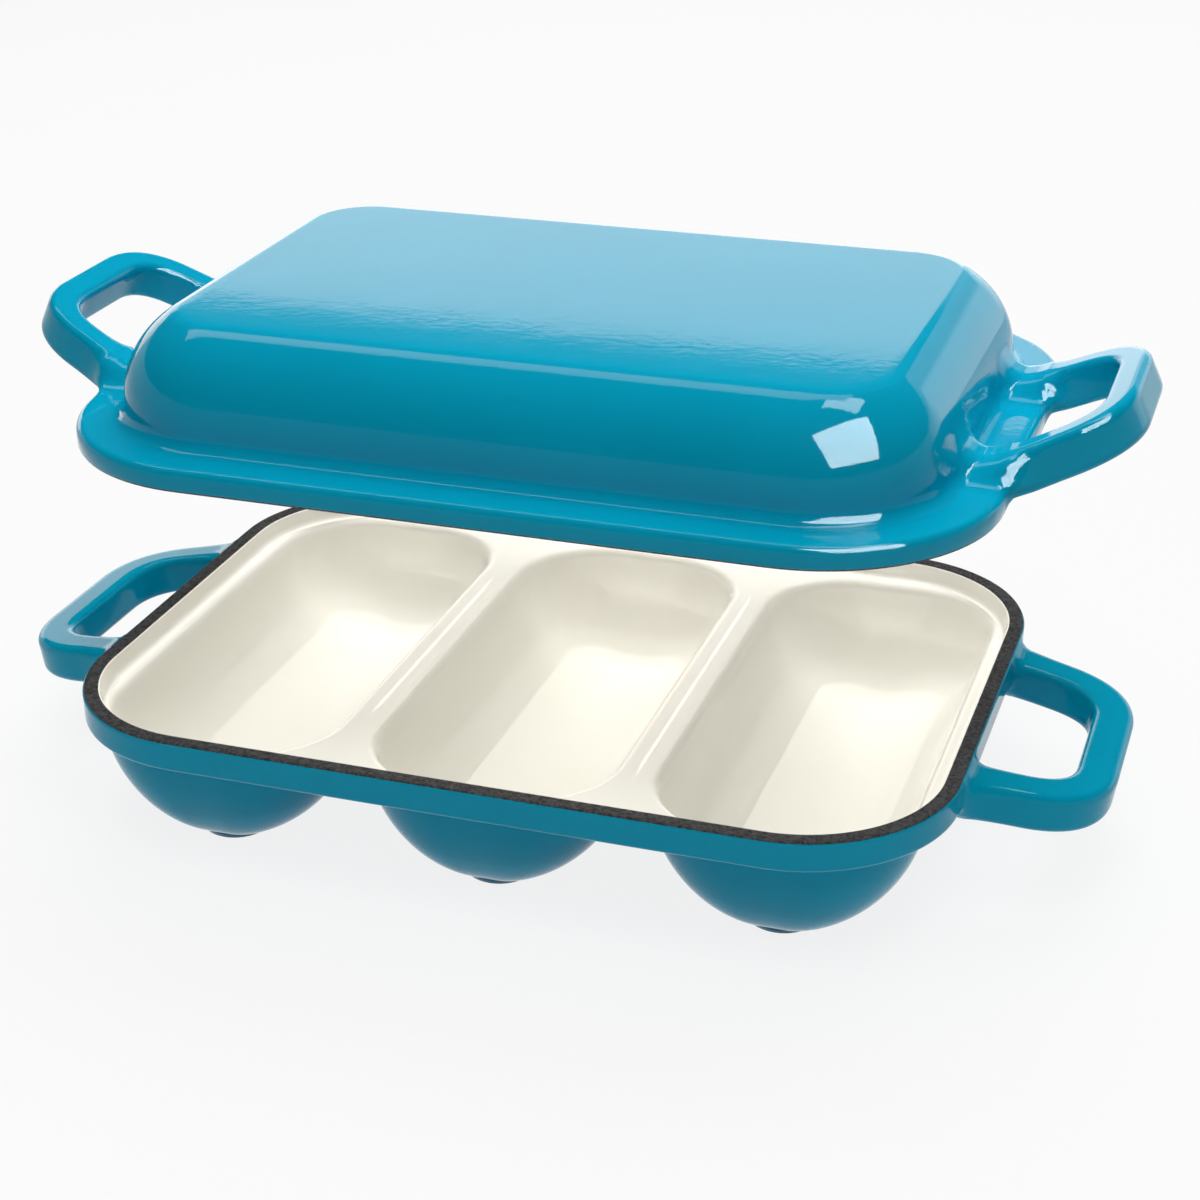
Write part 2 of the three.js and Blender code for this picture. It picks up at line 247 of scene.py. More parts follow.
class PanStage(bpy.types.PropertyGroup):
    """The camera's place and view."""

    azimuth: angle("Azimuth", "Camera's turn round the pan", 18.82)
    elevation: angle("Elevation", "Camera's height above the level", 25.18)
    roll: angle("Roll", "Camera's roll", -0.59)
    distance: length("Distance", "Camera's distance from its target", 0.9384)
    target: FloatVectorProperty(
        name="Target",
        description="Point that the camera looks at",
        default=(0.0008, 0.0399, 0.057),
        subtype="XYZ",
    )
    view: angle("View", "Width of the camera's view", 28.49)


# Ring, loft and sweep: the ways in which the pan's forms are made


def rounded_ring(size_x, size_y, radius, height, steps, middle=0.0):
    """Points round a rectangle with round corners at one height; steps are those of a corner and of the sides
    along X and Y."""
    corner, along_x, along_y = steps
    half_x, half_y = size_x / 2 - radius, size_y / 2 - radius
    signs = ((1, 1), (-1, 1), (-1, -1), (1, -1))
    quarter = np.linspace(0, math.pi / 2, corner + 1)
    pieces = []
    for turn, (sx, sy) in enumerate(signs):
        turned = quarter + turn * math.pi / 2
        end = turned[-1]
        arc = np.column_stack((sx * half_x + radius * np.cos(turned), sy * half_y + radius * np.sin(turned)))
        nx, ny = signs[(turn + 1) % 4]
        follow = np.array((nx * half_x + radius * math.cos(end), ny * half_y + radius * math.sin(end)))
        share = np.linspace(0, 1, (along_y if turn % 2 else along_x) + 1)[1:-1, None]
        pieces += [arc, arc[-1] + share * (follow - arc[-1])]
    flat = np.vstack(pieces)
    return np.column_stack((flat[:, 0] + middle, flat[:, 1], np.full(len(flat), height)))


def round_points(centre, radius, start, stop, steps):
    """Points of an arc, as (inset, height) pairs, between two angles in degrees."""
    turned = np.radians(np.linspace(start, stop, steps + 1))
    return [(centre[0] + radius * math.cos(t), centre[1] + radius * math.sin(t)) for t in turned]


def bezier_points(first, control, last, steps):
    """Points of a quadratic curve."""
    a, b, c = (np.array(p) for p in (first, control, last))
    shares = np.linspace(0, 1, steps + 1)
    return [tuple((1 - t) ** 2 * a + 2 * t * (1 - t) * b + t * t * c) for t in shares]


def offset_profile(profile, distance):
    """A profile moved sideways by a distance, to its left for a positive one."""
    points = np.array(profile)
    along = np.gradient(points, axis=0)
    along /= np.linalg.norm(along, axis=1)[:, None]
    return [tuple(p) for p in points + distance * np.column_stack((-along[:, 1], along[:, 0]))]


def ring_faces(count, low, high):
    """Four-sided faces between two rings of equal count that start at two vertices."""
    here = np.arange(count)
    after = np.roll(here, -1)
    return np.column_stack((low + here, low + after, high + after, high + here)).tolist()


def mesh_of(name, points, faces):
    """A mesh from points and faces."""
    mesh = bpy.data.meshes.new(name)
    mesh.from_pydata(points, [], faces)
    mesh.update()
    return mesh


def loft(rings):
    """A mesh through rings of equal count, closed at both ends by a flat face."""
    count, total = len(rings[0]), len(rings)
    faces = []
    for i in range(total - 1):
        faces += ring_faces(count, i * count, (i + 1) * count)
    ends = np.arange(count)
    faces.append(ends[::-1].tolist())
    faces.append((ends + (total - 1) * count).tolist())
    return mesh_of("loft", np.vstack(rings).tolist(), faces)


def hoop(rings):
    """A closed mesh whose last ring joins the first again."""
    count, total = len(rings[0]), len(rings)
    faces = []
    for i in range(total):
        faces += ring_faces(count, i * count, (i + 1) % total * count)
    return mesh_of("hoop", np.vstack(rings).tolist(), faces)


def joined(meshes):
    """One mesh that holds several."""
    points, faces = [], []
    for mesh in meshes:
        offset = len(points)
        points += [v.co.copy() for v in mesh.vertices]
        faces += [[offset + i for i in p.vertices] for p in mesh.polygons]
    return mesh_of("joined", points, faces)


def places(mesh):
    """Vertex places of a mesh as an array."""
    found = np.empty(len(mesh.vertices) * 3, np.float32)
    mesh.vertices.foreach_get("co", found)
    return found.reshape(-1, 3).astype(float)


def volume_of(mesh):
    """Signed volume of a closed mesh."""
    mesh.calc_loop_triangles()
    corners = np.empty(len(mesh.loop_triangles) * 3, np.int32)
    mesh.loop_triangles.foreach_get("vertices", corners)
    a, b, c = places(mesh)[corners].reshape(-1, 3, 3).transpose(1, 0, 2)
    return float((a * np.cross(b, c)).sum() / 6)


def outward(mesh):
    """Turns a closed mesh's faces outward."""
    if volume_of(mesh) < 0:
        mesh.flip_normals()
    return mesh


def weld(first, others):
    """One closed mesh from several that overlap."""
    holder = bpy.data.objects.new("weld", outward(first))
    bpy.context.scene.collection.objects.link(holder)
    tools = []
    for mesh in others:
        tool = bpy.data.objects.new("weld_tool", outward(mesh))
        bpy.context.scene.collection.objects.link(tool)
        tools.append(tool)
        union = holder.modifiers.new("union", "BOOLEAN")
        union.operation = "UNION"
        union.solver = "MANIFOLD"
        union.object = tool
    evaluated = holder.evaluated_get(bpy.context.evaluated_depsgraph_get())
    welded = bpy.data.meshes.new_from_object(evaluated)
    for spent in (holder, *tools):
        bpy.data.objects.remove(spent)
    if not welded.polygons:
        raise RuntimeError("the forms of a piece could not be joined")
    return welded


def drop_faces(mesh, unwanted):
    """Takes away the faces whose centres and normals a test names."""
    work = bmesh.new()
    work.from_mesh(mesh)
    work.normal_update()
    gone = [f for f in work.faces if unwanted(f.calc_center_median(), f.normal)]
    if not gone:
        raise RuntimeError("a piece has no covering face to open")
    bmesh.ops.delete(work, geom=gone, context="FACES")
    work.to_mesh(mesh)
    work.free()
    return mesh


def open_above(mesh, height):
    """Takes away the face that covers a piece at the top."""
    return drop_faces(mesh, lambda centre, normal: centre.z > height - HAIR and normal.z > FACING)


def open_below(mesh, height):
    """Takes away the face that covers a piece at the bottom."""
    return drop_faces(mesh, lambda centre, normal: centre.z < height + HAIR and normal.z < -FACING)


# Fillets


class Form:
    """A closed form with the signed distance to its surface."""

    TOUCHING = 1e-7  # a point this near to the surface, in metres, lies on it

    def __init__(self, mesh):
        self.tree = BVHTree.FromPolygons([v.co for v in mesh.vertices], [p.vertices for p in mesh.polygons])

    def distance(self, point):
        """Distance to the surface, negative inside, and the direction that leads away from it."""
        near, normal, _, gap = self.tree.find_nearest(point)
        if gap < self.TOUCHING:
            return 0.0, normal
        away = (point - near) / gap
        return (gap, away) if away.dot(normal) > 0 else (-gap, -away)


def settled(point, body, branch, reach, low):
    """A point moved onto the smooth union of two forms, and the union's normal there."""
    gap, away = branch.distance(point)
    side, out = body.distance(point)
    span = reach * min(max((point.z - low) / EDGE_FADE, LEAST_BLEND), 1)
    mix = min(max(0.5 + (side - gap) / (2 * span), 0), 1)
    field = side + (gap - side) * mix - span * mix * (1 - mix)
    normal = out.lerp(away, mix).normalized()
    return point - normal * field, normal


def seam_vertices(mesh, body, branch, reach, low, high):
    """Numbers of the vertices about as near to one form as to the other, without the coat's edges."""
    near = []
    for vertex in mesh.vertices:
        if low + EDGE_KEPT < vertex.co.z < high - EDGE_KEPT:
            gap, _ = branch.distance(vertex.co)
            side, _ = body.distance(vertex.co)
            if abs(gap - side) < reach:
                near.append(vertex.index)
    if not near:
        raise RuntimeError("two forms of a piece don't meet")
    return near


def neighbours(mesh, chosen):
    """For each of some vertices, those of the others that share an edge with it."""
    around = {i: [] for i in chosen}
    for edge in mesh.edges:
        a, b = edge.vertices
        if a in around and b in around:
            around[a].append(b)
            around[b].append(a)
    return around


def blend_seams(mesh, body, branch, reach, low, high):
    """Rounds the inside corner where a branch leaves a body, as a casting's fillet: every point near both is
    moved to the smooth union of the two forms, which leaves each alone further off than the reach. The
    fillet stays between two heights and narrows towards the lower one, so that the seated lid and the base
    keep clear of each other. Returns the fillet's own normals by vertex, which shade it evenly whatever its
    triangles."""
    near = seam_vertices(mesh, body, branch, reach, low, high)
    around = neighbours(mesh, near)
    points = {i: mesh.vertices[i].co.copy() for i in near}
    normals = {}
    for step in range(BLEND_ROUNDS):
        for i in near:
            points[i], normals[i] = settled(points[i], body, branch, reach, low)
        if step == BLEND_ROUNDS - 1:
            break
        relaxed = {}
        for i in near:
            if len(around[i]) < FEWEST_NEIGHBOURS:
                continue
            pull = sum((points[j] for j in around[i]), Vector()) / len(around[i]) - points[i]
            relaxed[i] = points[i] + BLEND_PULL * (pull - normals[i] * pull.dot(normals[i]))
        points.update(relaxed)
    for i in near:
        if not low <= points[i].z <= high:
            points[i].z = min(max(points[i].z, low), high)
            del normals[i]
        mesh.vertices[i].co = points[i]
    mesh.update()
    return normals


def shade(mesh, normals):
    """Shades a mesh smoothly, with given normals at some of its vertices."""
    mesh.polygons.foreach_set("use_smooth", [True] * len(mesh.polygons))
    own = [n.vector.copy() for n in mesh.vertex_normals]
    for i, normal in normals.items():
        own[i] = normal
    mesh.normals_split_custom_set_from_vertices(own)


def blend_handles(coat, body, loops, reach, low, high):
    """Blends handles into a coat and shades it."""
    normals = {}
    for loop in loops:
        normals.update(blend_seams(coat, Form(body), Form(outward(loop)), reach, low, high))
    shade(coat, normals)


# Colours and materials


def linear(digits):
    """A linear colour from sRGB hex digits."""
    channels = [int(digits[i : i + 2], 16) / 255 for i in (0, 2, 4)]
    return (*(c / 12.92 if c <= 0.04045 else ((c + 0.055) / 1.055) ** 2.4 for c in channels), 1.0)


def add_node(tree, kind, links=None, **settings):
    """Adds a node, sets its sockets and options by name and links its inputs."""
    node = tree.nodes.new(kind)
    for name, value in settings.items():
        socket = node.inputs.get(name.replace("_", " "))
        if socket is None or hasattr(node, name):
            setattr(node, name, value)
        else:
            socket.default_value = value
    for name, output in (links or {}).items():
        tree.links.new(output, node.inputs[name])
    return node


def waves_per_metre(millimetres):
    """Noise scale for features of a real size."""
    return 1 / (millimetres * MILLIMETRE)


def new_material(name):
    """An empty node material and its tree."""
    material = bpy.data.materials.new(name)
    material.use_nodes = True
    material.node_tree.nodes.clear()
    return material, material.node_tree


def vitreous_enamel(name, colour, pooled, sheen, roughness):
    """Glossy vitreous enamel, sprayed and fired: an even glassy coat that pools a little, with a faint orange
    peel and the slow waviness of the casting below it, which make the edges of reflections wander."""
    material, tree = new_material(name)
    where = add_node(tree, "ShaderNodeTexCoord").outputs["Object"]
    pool = add_node(tree, "ShaderNodeTexNoise", {"Vector": where}, Scale=waves_per_metre(38), Detail=3.0)
    tint = add_node(tree, "ShaderNodeMix", {"Factor": pool.outputs["Fac"]}, data_type="RGBA")
    tint.inputs["A"].default_value = linear(colour)
    tint.inputs["B"].default_value = linear(pooled)
    waviness = add_node(tree, "ShaderNodeTexNoise", {"Vector": where}, Scale=waves_per_metre(22), Detail=1.0)
    peel = add_node(tree, "ShaderNodeTexNoise", {"Vector": where}, Scale=waves_per_metre(3.2), Detail=2.0)
    slow = add_node(
        tree,
        "ShaderNodeBump",
        {"Height": waviness.outputs["Fac"]},
        Strength=1.0,
        Distance=0.02 * MILLIMETRE,
    )
    fine = add_node(
        tree,
        "ShaderNodeBump",
        {"Height": peel.outputs["Fac"], "Normal": slow.outputs["Normal"]},
        Strength=1.0,
        Distance=0.013 * MILLIMETRE,
    )
    # Enamel is a glass with an IOR of about 1.5; its specular level is matched to the real coat's gloss.
    gloss = add_node(
        tree,
        "ShaderNodeBsdfPrincipled",
        {"Base Color": tint.outputs["Result"], "Normal": fine.outputs["Normal"]},
        Roughness=roughness,
        IOR=1.5,
        Specular_IOR_Level=0.12,
        Specular_Tint=linear(sheen),
    )
    add_node(tree, "ShaderNodeOutputMaterial", {"Surface": gloss.outputs["BSDF"]})
    return material


def bare_cast_iron(name, colour, pits):
    """Bare cast iron, seasoned and left as ground: matt charcoal with a fine sandy grain and darker pits. Its
    dark seasoning covers it, so it isn't shaded as a metal."""
    material, tree = new_material(name)
    where = add_node(tree, "ShaderNodeTexCoord").outputs["Object"]
    # The sand grain is about 0.3 mm; it is drawn at 1.2 mm to show in the render.
    grain = add_node(tree, "ShaderNodeTexNoise", {"Vector": where}, Scale=waves_per_metre(1.2), Detail=3.0)
    spread = add_node(tree, "ShaderNodeValToRGB", {"Fac": grain.outputs["Fac"]})
    for stop, position, shown in zip(spread.color_ramp.elements, (0.35, 0.65), (pits, colour)):
        stop.position = position
        stop.color = linear(shown)
    rough = add_node(
        tree, "ShaderNodeBump", {"Height": grain.outputs["Fac"]}, Strength=1.0, Distance=0.3 * MILLIMETRE
    )
    matt = add_node(
        tree,
        "ShaderNodeBsdfPrincipled",
        {"Base Color": spread.outputs["Color"], "Normal": rough.outputs["Normal"]},
        Roughness=0.68,
        IOR=1.5,
    )
    add_node(tree, "ShaderNodeOutputMaterial", {"Surface": matt.outputs["BSDF"]})
    return material


def material_called(name, make):
    """A material that several pieces share, made once."""
    return bpy.data.materials.get(name) or make(name)


def outer_enamel(colours):
    """Teal enamel of the outside."""
    tints = (colours.teal, colours.teal_deep, colours.teal_sheen)
    return material_called(
        "glossy_teal_vitreous_enamel", lambda name: vitreous_enamel(name, *tints, roughness=0.05)
    )


def inner_enamel(colours):
    """Ivory enamel of the inside."""
    tints = (colours.ivory, colours.ivory_warm, colours.ivory_sheen)
    return material_called(
        "glossy_ivory_vitreous_enamel", lambda name: vitreous_enamel(name, *tints, roughness=0.12)
    )


def rim_iron(colours):
    """Bare iron of rims and soles."""
    return material_called(
        "bare_matt_cast_iron", lambda name: bare_cast_iron(name, colours.iron, colours.iron_dark)
    )


def add_piece(name, mesh, material, body, node):
    """Puts a finished mesh on its body in place of a CAD node."""
    mesh.name = name
    mesh.materials.clear()
    mesh.materials.append(material)
    mesh.polygons.foreach_set("use_smooth", [True] * len(mesh.polygons))
    mesh.polygons.foreach_set("material_index", [0] * len(mesh.polygons))
    piece = bpy.data.objects.new(name, mesh)
    bpy.context.scene.collection.objects.link(piece)
    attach(piece, body)
    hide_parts(node)


# Forms of the pan


class BasePlan:
    """Sizes of the base that follow from the driving ones, and the forms made from them."""

    def __init__(self, size):
        self.size = size
        self.deck = size.height - size.deck_drop
        self.deck_inset = size.rim_land + size.coat + size.wall_draft + size.deck_fillet
        self.lip_length = size.rim_width - 2 * (self.deck_inset + size.side_ledge)
        span = size.rim_length - 2 * (self.deck_inset + size.end_ledge)
        self.lip_width = (span - (CAVITIES - 1) * size.bridge) / CAVITIES
        self.pitch = self.lip_width + size.bridge
        self.cavity_width = self.lip_width - 2 * size.lip
        self.cavity_length = self.lip_length - 2 * size.lip
        self.cavity_bottom = size.foot_proud + size.wall
        self.middles = [(i - (CAVITIES - 1) / 2) * self.pitch for i in range(CAVITIES)]
        self.bowl_side = self.middles[-1] + (self.cavity_width + size.wall) / 2

    def rim_ring(self, inset, height):
        """The rim's outline drawn in by an inset."""
        size = self.size
        across, along = size.rim_length - 2 * inset, size.rim_width - 2 * inset
        return rounded_ring(across, along, size.rim_corner - inset, height, RIM_STEPS)

    def bowl_rings(self, middle, grow, depth, steps):
        """Rings of a bowl from its bottom up to a depth below the deck, grown outward from the cavity."""
        size = self.size
        drop = self.deck - self.cavity_bottom + grow
        rings = []
        for turned in np.linspace(math.radians(BOWL_END_ANGLE), math.asin(depth / drop), steps + 1):
            spread = math.cos(turned)
            across = (self.cavity_width + 2 * grow) * spread
            along = self.cavity_length + 2 * grow - 2 * (size.cavity_end_run + grow) * (1 - spread)
            radius = (size.cavity_corner + grow) * spread
            height = self.deck - drop * math.sin(turned)
            rings.append(rounded_ring(across, along, radius, height, CAVITY_STEPS, middle))
        return rings

    def cavity(self, middle):
        """A cavity with its round lip, up to just above the deck."""
        size = self.size
        centre = (size.lip, self.deck - size.lip)
        lip = round_points(centre, size.lip, 180, LIP_END_ANGLE, FILLET_STEPS)[1:]
        brim = (size.lip + LIP_RUN, self.deck + LIP_RISE)
        rings = self.bowl_rings(middle, 0, size.lip, CAVITY_RINGS)
        for out, height in (*lip, brim):
            across, along = self.cavity_width + 2 * out, self.cavity_length + 2 * out
            rings.append(rounded_ring(across, along, size.cavity_corner + out, height, CAVITY_STEPS, middle))
        return loft(rings)

    def foot(self, middle, skin, bottom, top):
        """A foot's pad, drawn in by a skin."""
        size = self.size
        sole = [(ease, bottom) for ease in SOLE_EASES]
        side = [(0, height) for height in np.linspace(bottom, top, FOOT_POINTS)[1:]]
        rings = []
        for ease, height in sole + side:
            inset = skin + size.foot_ease * (1 - height / self.cavity_bottom) + ease
            across, along = size.foot_width - 2 * inset, size.foot_length - 2 * inset
            rings.append(rounded_ring(across, along, across / 2 - HAIR, height, FOOT_STEPS, middle))
        return loft(rings)


def handle_mesh(size, edge, inset, side, middle, floor):
    """A loop handle: a bar with rounded edges, bent round in plan and tilted about the rim's edge, whose arms
    flare into the wall; inset is how far its ends lie inside that edge."""
    bar = size.reach - size.width / 2
    start, end = size.root_span / 2, size.bar_span / 2
    bend = bar - size.corner
    lean = start + (end - start) * bend / bar
    half = [(u, start) for u in np.linspace(-inset, 0, ARM_POINTS)[:-1]]
    half += [(u, start + (end - start) * u / bar) for u in np.linspace(0, bend, ARM_POINTS)[:-1]]
    half += bezier_points((bend, lean), (bar, end), (bar, end - size.corner), BEND_STEPS)
    straight = [(bar, v) for v in np.linspace(end - size.corner, size.corner - end, BAR_POINTS)[1:-1]]
    path = np.array(half + straight + [(u, -v) for u, v in reversed(half)])
    along = np.gradient(path, axis=0)
    along /= np.linalg.norm(along, axis=1)[:, None]
    rings = []
    for (u, v), (du, dv) in zip(path, along):
        flare = min(max(1 - u / bend, 0), 1) ** 2
        width = size.width * (1 + (size.flare - 1) * flare)
        sunk = size.dip * max(-u, 0) / inset
        rounding = size.edge * (1 + ROOT_ROUNDING * flare)
        section = rounded_ring(width, size.depth - sunk, rounding, 0, SECTION_STEPS)
        tilt = size.rise * min(max((u + TILT_EASE) / (2 * TILT_EASE), 0), 1)
        run = u if u > TILT_EASE else max(u + TILT_EASE, 0) ** 2 / (4 * TILT_EASE)
        lift = floor + size.height - sunk / 2 + math.sin(size.rise) * run
        out = edge + (math.cos(size.rise) * u if u > 0 else u)
        across, up = section[:, 0], section[:, 1]
        x = middle + side * (out + across * dv * math.cos(tilt) - up * math.sin(tilt))
        z = lift + across * dv * math.sin(tilt) + up * math.cos(tilt)
        rings.append(np.column_stack((x, v - across * du, z)))
    return loft(rings)


class LidPlan:
    """The lid's profiles, as insets from the rim's outline and heights above the lid's rim."""

    def __init__(self, size, base):
        self.size = size
        self.base = base

    def rim_ring(self, inset, height):
        """The flange's outline drawn in by an inset, at the lid's place; the wall is steeper at the ends."""
        size, base = self.size, self.base
        climbed = min(max((inset - size.flange_width - size.flange_fillet) / size.wall_run, 0), 1)
        across = base.rim_length - 2 * inset + 2 * size.end_reach * climbed
        along = base.rim_width - 2 * inset
        return rounded_ring(across, along, size.corner - inset, size.seat + height, RIM_STEPS, size.drift)

    def outside(self):
        """From the flange's edge over the wall to the flat top."""
        size = self.size
        edge, width = size.flange_edge, size.flange_width
        foot, foot_height = width + size.flange_fillet, edge + size.flange_fillet
        crease = foot + size.wall_run
        shoulder = (crease, size.height - size.crease_drop)
        rounding = (size.flange_round, edge - size.flange_round)
        points = round_points(rounding, size.flange_round, 180, 90, EDGE_STEPS)
        points += [(s, edge) for s in np.linspace(size.flange_round, width, SIDE_POINTS)[1:-1]]
        points += round_points((width, foot_height), size.flange_fillet, 270, 360, FILLET_STEPS)
        points += bezier_points((foot, foot_height), (foot, size.wall_bulge), shoulder, BULGE_STEPS)[1:]
        brow = (crease + size.crease_run * BROW, size.height)
        points += bezier_points(shoulder, brow, (crease + size.crease_run, size.height), FILLET_STEPS)[1:]
        return points

    def shell(self, profile):
        """A form through a profile's rings, closed over the flat top at its last point."""
        inset, height = profile[-1]
        reach = self.size.corner - inset - LEAST_RADIUS
        top = [(inset + reach * share, height) for share in TOP_SHARES]
        return loft([self.rim_ring(*point) for point in profile + top])


def iron_band(ring, coat, land, face, back):
    """A bare iron ring between the coats, with eased edges; face is the height at which it shows and back the
    height to which it runs in between them."""
    side = 1 if back > face else -1
    eased = face + side * BAND_EASE
    near, corner = BAND_EASE * BAND_CORNER, face + side * BAND_EASE * BAND_CORNER
    loop = [(coat, back), (coat, eased), (coat + near, corner), (coat + BAND_EASE, face)]
    loop += [(s, face) for s in np.linspace(coat, land, BAND_POINTS)[1:-1]]
    loop += [(land - BAND_EASE, face), (land - near, corner), (land, eased), (land, back)]
    return outward(hoop([ring(*point) for point in loop]))


# Operators: one for each piece


class PAN_OT_base_outer_enamel(bpy.types.Operator):
    """Builds the teal coat over the base's collar, bowls, feet and handles"""

    bl_idname = "pan.base_outer_enamel"
    bl_label = "Base Outer Enamel"

    def execute(self, context):
        size, handle = context.scene.pan_base, context.scene.pan_base_handle
        plan = BasePlan(size)
        edge = size.height - size.coat_drop
        turn = size.height - size.collar_height + size.collar_round
        profile = round_points((size.collar_round, turn), size.collar_round, 270, 180, EDGE_STEPS)
        profile += [(0, z) for z in np.linspace(turn, edge - size.coat / 2, SIDE_POINTS)[1:]]
        profile += [(size.coat * EDGE_IN, edge - size.coat * EDGE_BACK), (size.coat, edge)]
        collar = loft([plan.rim_ring(*point) for point in profile])
        bowls = [loft(plan.bowl_rings(m, size.wall, 0, BOWL_RINGS)) for m in plan.middles]
        feet = [plan.foot(m, 0, size.foot_bare, plan.cavity_bottom) for m in plan.middles]
        body = weld(collar, [*bowls, *feet])
        inset = size.rim_length / 2 - plan.bowl_side
        loops = [handle_mesh(handle, size.rim_length / 2, inset, side, 0, 0) for side in (1, -1)]
        coat = open_above(weld(body.copy(), loops), edge)
        blend_handles(coat, body, loops, handle.blend, 0, edge - SEAM_GAP)
        material = outer_enamel(context.scene.pan_colours)
        add_piece(BASE_COAT, coat, material, "base", "base_outer_enamel")
        return {"FINISHED"}


class PAN_OT_base_inner_enamel(bpy.types.Operator):
    """Builds the ivory coat over the base's recess, deck and cavities"""

    bl_idname = "pan.base_inner_enamel"
    bl_label = "Base Inner Enamel"

    def execute(self, context):
        size = context.scene.pan_base
        plan = BasePlan(size)
        edge = size.height - size.lining_drop
        land = size.rim_land + size.coat
        corner = (plan.deck_inset, plan.deck + size.deck_fillet)
        profile = round_points(corner, size.deck_fillet, 270, 180, FILLET_STEPS)
        foot, foot_height = profile[-1]
        climb = edge - size.coat - foot_height
        rises = np.linspace(0, 1, RECESS_POINTS)[1:]
        profile += [(foot - size.wall_draft * t, foot_height + climb * t) for t in rises]
        profile += [(land - size.coat * EDGE_IN, edge - size.coat * EDGE_BACK), (size.rim_land, edge)]
        recess = loft([plan.rim_ring(*point) for point in profile])
        lining = open_above(weld(recess, [plan.cavity(m) for m in plan.middles]), edge)
        lining.flip_normals()
        material = inner_enamel(context.scene.pan_colours)
        add_piece(BASE_LINING, lining, material, "base", "base_inner_enamel")
        return {"FINISHED"}


class PAN_OT_base_iron(bpy.types.Operator):
    """Builds the bare iron of the base: the rim's ring and the ground soles of the feet"""

    bl_idname = "pan.base_iron"
    bl_label = "Base Iron"

    def execute(self, context):
        size = context.scene.pan_base
        plan = BasePlan(size)
        band = iron_band(plan.rim_ring, size.coat, size.rim_land, size.height, plan.deck)
        soles = [outward(plan.foot(m, size.coat, 0, size.foot_proud)) for m in plan.middles]
        material = rim_iron(context.scene.pan_colours)
        add_piece(BASE_IRON, joined([band, *soles]), material, "base", "base_iron_casting")
        return {"FINISHED"}


class PAN_OT_lid_outer_enamel(bpy.types.Operator):
    """Builds the teal coat over the lid's flange, wall, top and handles"""

    bl_idname = "pan.lid_outer_enamel"
    bl_label = "Lid Outer Enamel"

    def execute(self, context):
        scene = context.scene
        base, size, handle = scene.pan_base, scene.pan_lid, scene.pan_lid_handle
        plan = LidPlan(size, base)
        coat_edge, thickness = base.coat_drop, base.coat
        profile = [(thickness, coat_edge), (thickness * EDGE_IN, coat_edge + thickness * EDGE_BACK)]
        profile += [(0, coat_edge + thickness / 2), *plan.outside()]
        dome = outward(plan.shell(profile))
        out, inset = base.rim_length / 2, size.flange_width + size.flange_fillet + base.wall / 2
        loops = [handle_mesh(handle, out, inset, side, size.drift, size.seat) for side in (1, -1)]
        lowest = size.seat + coat_edge
        coat = open_below(weld(dome.copy(), loops), lowest)
        blend_handles(coat, dome, loops, handle.blend, lowest + SEAM_GAP, lid_top)
        material = outer_enamel(scene.pan_colours)
        add_piece(LID_COAT, coat, material, "lid", "lid_outer_enamel")
        return {"FINISHED"}


class PAN_OT_lid_inner_enamel(bpy.types.Operator):
    """Builds the ivory coat inside the lid"""

    bl_idname = "pan.lid_inner_enamel"
    bl_label = "Lid Inner Enamel"

    def execute(self, context):
        base, size = context.scene.pan_base, context.scene.pan_lid
        plan = LidPlan(size, base)
        edge, thickness = base.lining_drop, base.coat
        land = base.rim_land + thickness
        step = (land + size.step_round, size.flange_edge - base.wall - size.step_round)
        profile = [(base.rim_land, edge), (land - thickness * EDGE_IN, edge + thickness * EDGE_BACK)]
        profile += [(land, edge + thickness), *round_points(step, size.step_round, 180, 90, STEP_STEPS)]
        outside = plan.outside()
        start = next(i for i, (inset, _) in enumerate(outside) if inset >= size.flange_width - HAIR)
        profile += offset_profile(outside, -base.wall)[start:]
        lining = open_below(outward(plan.shell(profile)), size.seat + edge)
        lining.flip_normals()
        material = inner_enamel(context.scene.pan_colours)
        add_piece(LID_LINING, lining, material, "lid", "lid_inner_enamel")
        return {"FINISHED"}


class PAN_OT_lid_iron(bpy.types.Operator):
    """Builds the bare iron ring under the lid's flange"""

    bl_idname = "pan.lid_iron"
    bl_label = "Lid Iron"

    def execute(self, context):
        base, size = context.scene.pan_base, context.scene.pan_lid
        plan = LidPlan(size, base)
        band = iron_band(plan.rim_ring, base.coat, base.rim_land, 0, size.flange_edge - base.wall)
        add_piece(LID_IRON, band, rim_iron(context.scene.pan_colours), "lid", "lid_iron_casting")
        return {"FINISHED"}


# Studio

WHITE = (1, 1, 1, 1)
FLOOR_HALF = 12.0  # half of the floor's width in metres
FLOOR_LIFT = 0.85  # share of plain white in what the floor shows as a background
ROOM_LEVEL = 0.05
BACKDROP_LEVEL = 0.95
BACKDROP_ENDS = (12, 13.5)  # degrees above the level between which the backdrop fades into the room
LAMP_POWER = 4  # watts for a square metre of lamp and a radiance of 1
SENSOR = 36  # width of the camera's sensor in millimetres


def add_softbox(name, place, aim, width, height, radiance, colour):
    """A rectangular lamp at a place, turned to a point, that the camera doesn't see; its power follows from
    its area and radiance."""
    lamp = bpy.data.lights.new(name, "AREA")
    lamp.shape = "RECTANGLE"
    lamp.size = width
    lamp.size_y = height
    lamp.energy = LAMP_POWER * width * height * radiance
    lamp.color = linear(colour)[:3]
    softbox = bpy.data.objects.new(name, lamp)
    bpy.context.scene.collection.objects.link(softbox)
    toward = Vector(aim) - Vector(place)
    softbox.rotation_euler = toward.to_track_quat("-Z", "Y").to_euler()
    softbox.location = place
    softbox.visible_camera = False
    return softbox


